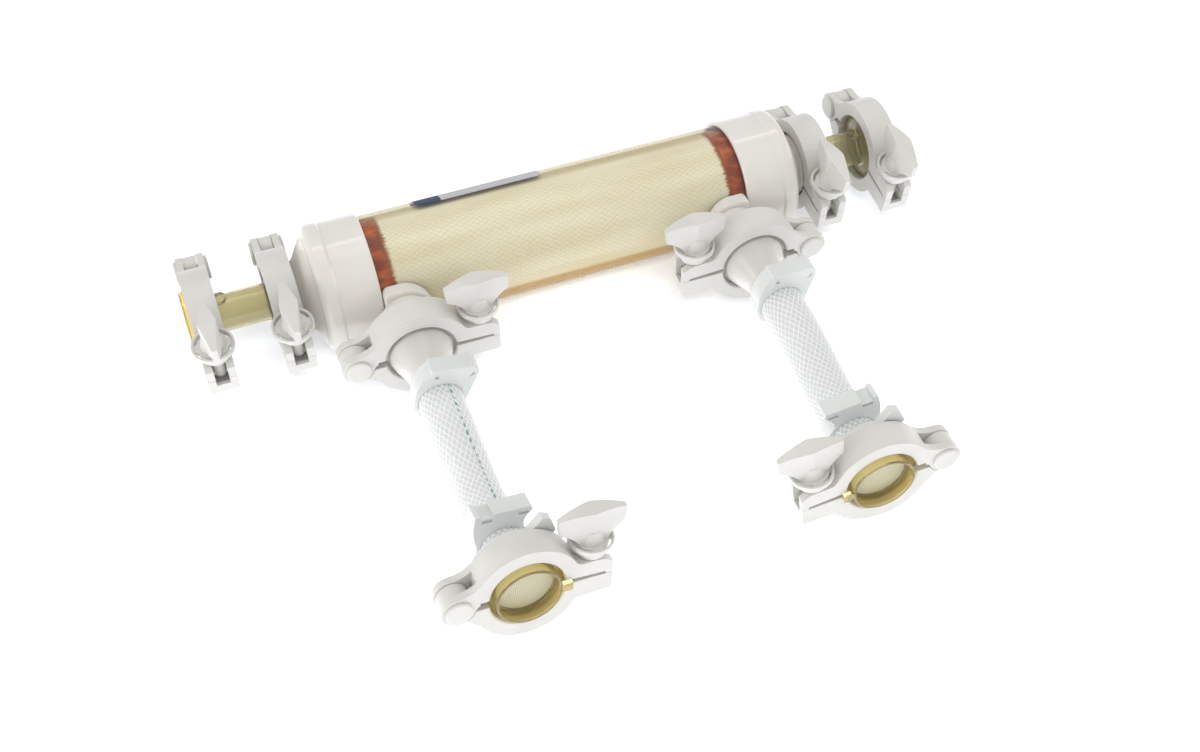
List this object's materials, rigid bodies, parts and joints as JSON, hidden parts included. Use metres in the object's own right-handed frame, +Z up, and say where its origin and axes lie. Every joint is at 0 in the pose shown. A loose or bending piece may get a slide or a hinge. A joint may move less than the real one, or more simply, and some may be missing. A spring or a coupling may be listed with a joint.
{
  "type": "hollow fiber filter cartridge",
  "caption": "Lying hollow fibre filter cartridge with clamped ferrule fittings at the ends and sides, and short braided hoses to clamped free ends.",
  "frame": {"origin": "on the floor under the middle of the whole object's bounding box", "axes": "+X along the cartridge towards the end on the right in the picture, -Y towards the free hose ends, +Z up"},
  "size_m": [0.5122, 0.3314, 0.0902],
  "materials": {
    "clamp_white": "satin moulded nylon",
    "cap_cream": "glossy moulded polysulfone",
    "shell_clear": "clear polysulfone tube",
    "fibre": "bundle of fine hollow fibres",
    "potting": "red-brown cast resin",
    "label_white": "bare adhesive label",
    "amber_clear": "clear amber polysulfone",
    "frosted_clear": "translucent polypropylene",
    "hose_clear": "clear braided silicone",
    "clip_white": "moulded nylon clip",
    "disc_pale": "pale plastic disc",
    "gasket": "silicone gasket"
  },
  "bodies": {
    "cartridge": {"shell_tube": "shell_clear", "fibre_bundle": "fibre", "potting": "potting", "label": "label_white", "end_cap_left": "cap_cream", "end_connector_left": "amber_clear", "side_port_left": "cap_cream", "side_reducer_left": "frosted_clear", "hose_left": "hose_clear", "hose_connector_left": "amber_clear", "hose_clip_left_port": "clip_white", "hose_clip_left_end": "clip_white", "end_cap_right": "cap_cream", "end_connector_right": "amber_clear", "side_port_right": "cap_cream", "side_reducer_right": "frosted_clear", "hose_right": "hose_clear", "hose_connector_right": "amber_clear", "hose_clip_right_port": "clip_white", "hose_clip_right_end": "clip_white", "ramp_collars": "clip_white", "cover_cup_left_outer": "amber_clear", "cover_cup_right_outer": "amber_clear", "cover_cup_left_hose": "amber_clear", "cover_cup_right_hose": "amber_clear", "cup_discs": "disc_pale", "clamp_upper_left_outer": "clamp_white", "clamp_lower_left_outer": "clamp_white", "clamp_upper_left_inner": "clamp_white", "clamp_lower_left_inner": "clamp_white", "clamp_upper_right_inner": "clamp_white", "clamp_lower_right_inner": "clamp_white", "clamp_upper_right_outer": "clamp_white", "clamp_lower_right_outer": "clamp_white", "clamp_upper_left_port": "clamp_white", "clamp_lower_left_port": "clamp_white", "clamp_upper_right_port": "clamp_white", "clamp_lower_right_port": "clamp_white", "clamp_upper_left_hose": "clamp_white", "clamp_lower_left_hose": "clamp_white", "clamp_upper_right_hose": "clamp_white", "clamp_lower_right_hose": "clamp_white", "gaskets": "gasket", "hinge_pins": "clamp_white"},
    "bolt_left_outer": {"swing_bolt_left_outer": "clamp_white"},
    "nut_left_outer": {"wing_nut_left_outer": "clamp_white"},
    "bolt_left_inner": {"swing_bolt_left_inner": "clamp_white"},
    "nut_left_inner": {"wing_nut_left_inner": "clamp_white"},
    "bolt_right_inner": {"swing_bolt_right_inner": "clamp_white"},
    "nut_right_inner": {"wing_nut_right_inner": "clamp_white"},
    "bolt_right_outer": {"swing_bolt_right_outer": "clamp_white"},
    "nut_right_outer": {"wing_nut_right_outer": "clamp_white"},
    "bolt_left_port": {"swing_bolt_left_port": "clamp_white"},
    "nut_left_port": {"wing_nut_left_port": "clamp_white"},
    "bolt_right_port": {"swing_bolt_right_port": "clamp_white"},
    "nut_right_port": {"wing_nut_right_port": "clamp_white"},
    "bolt_left_hose": {"swing_bolt_left_hose": "clamp_white"},
    "nut_left_hose": {"wing_nut_left_hose": "clamp_white"},
    "bolt_right_hose": {"swing_bolt_right_hose": "clamp_white"},
    "nut_right_hose": {"wing_nut_right_hose": "clamp_white"}
  },
  "joints": [
    {"name": "swing_left_outer", "type": "hinge", "parent": "cartridge", "child": "bolt_left_outer", "pos_m": [-0.2423, 0.07233, 0.03514], "axis": [1, 0, 0], "range_deg": [0, 65]},
    {"name": "turn_left_outer", "type": "hinge", "parent": "bolt_left_outer", "child": "nut_left_outer", "pos_m": [-0.2423, 0.07006, 0.05964], "axis": [0, -0.0924, 0.9957], "continuous": true},
    {"name": "swing_left_inner", "type": "hinge", "parent": "cartridge", "child": "bolt_left_inner", "pos_m": [-0.1908, 0.07256, 0.03413], "axis": [1, 0, 0], "range_deg": [0, 65]},
    {"name": "turn_left_inner", "type": "hinge", "parent": "bolt_left_inner", "child": "nut_left_inner", "pos_m": [-0.1908, 0.06969, 0.05857], "axis": [0, -0.1167, 0.9932], "continuous": true},
    {"name": "swing_right_inner", "type": "hinge", "parent": "cartridge", "child": "bolt_right_inner", "pos_m": [0.1908, 0.07233, 0.03514], "axis": [1, 0, 0], "range_deg": [0, 65]},
    {"name": "turn_right_inner", "type": "hinge", "parent": "bolt_right_inner", "child": "nut_right_inner", "pos_m": [0.1908, 0.07006, 0.05964], "axis": [0, -0.0924, 0.9957], "continuous": true},
    {"name": "swing_right_outer", "type": "hinge", "parent": "cartridge", "child": "bolt_right_outer", "pos_m": [0.2423, 0.07266, 0.0337], "axis": [1, 0, 0], "range_deg": [0, 65]},
    {"name": "turn_right_outer", "type": "hinge", "parent": "bolt_right_outer", "child": "nut_right_outer", "pos_m": [0.2423, 0.06954, 0.0581], "axis": [0, -0.1271, 0.9919], "continuous": true},
    {"name": "swing_left_port", "type": "hinge", "parent": "cartridge", "child": "bolt_left_port", "pos_m": [-0.0755, 0.04069, 0.039], "axis": [0, 1, 0], "range_deg": [0, 65]},
    {"name": "turn_left_port", "type": "hinge", "parent": "bolt_left_port", "child": "nut_left_port", "pos_m": [-0.0755, 0.04069, 0.0636], "axis": [0, 0, 1], "continuous": true},
    {"name": "swing_right_port", "type": "hinge", "parent": "cartridge", "child": "bolt_right_port", "pos_m": [0.0755, 0.04069, 0.039], "axis": [0, -1, 0], "range_deg": [0, 65]},
    {"name": "turn_right_port", "type": "hinge", "parent": "bolt_right_port", "child": "nut_right_port", "pos_m": [0.0755, 0.04069, 0.0636], "axis": [0, 0, 1], "continuous": true},
    {"name": "swing_left_hose", "type": "hinge", "parent": "cartridge", "child": "bolt_left_hose", "pos_m": [-0.06992, -0.14957, 0.02432], "axis": [-0.0484, 0.9903, -0.1305], "range_deg": [0, 65]},
    {"name": "turn_left_hose", "type": "hinge", "parent": "bolt_left_hose", "child": "nut_left_hose", "pos_m": [-0.0673, -0.14625, 0.04855], "axis": [0.1067, 0.1351, 0.9851], "continuous": true},
    {"name": "swing_right_hose", "type": "hinge", "parent": "cartridge", "child": "bolt_right_hose", "pos_m": [0.07611, -0.14893, 0.02344], "axis": [-0.0314, -0.9982, 0.0506], "range_deg": [0, 65]},
    {"name": "turn_right_hose", "type": "hinge", "parent": "bolt_right_hose", "child": "nut_right_hose", "pos_m": [0.07319, -0.1476, 0.04783], "axis": [-0.1185, 0.054, 0.9915], "continuous": true}
  ]
}
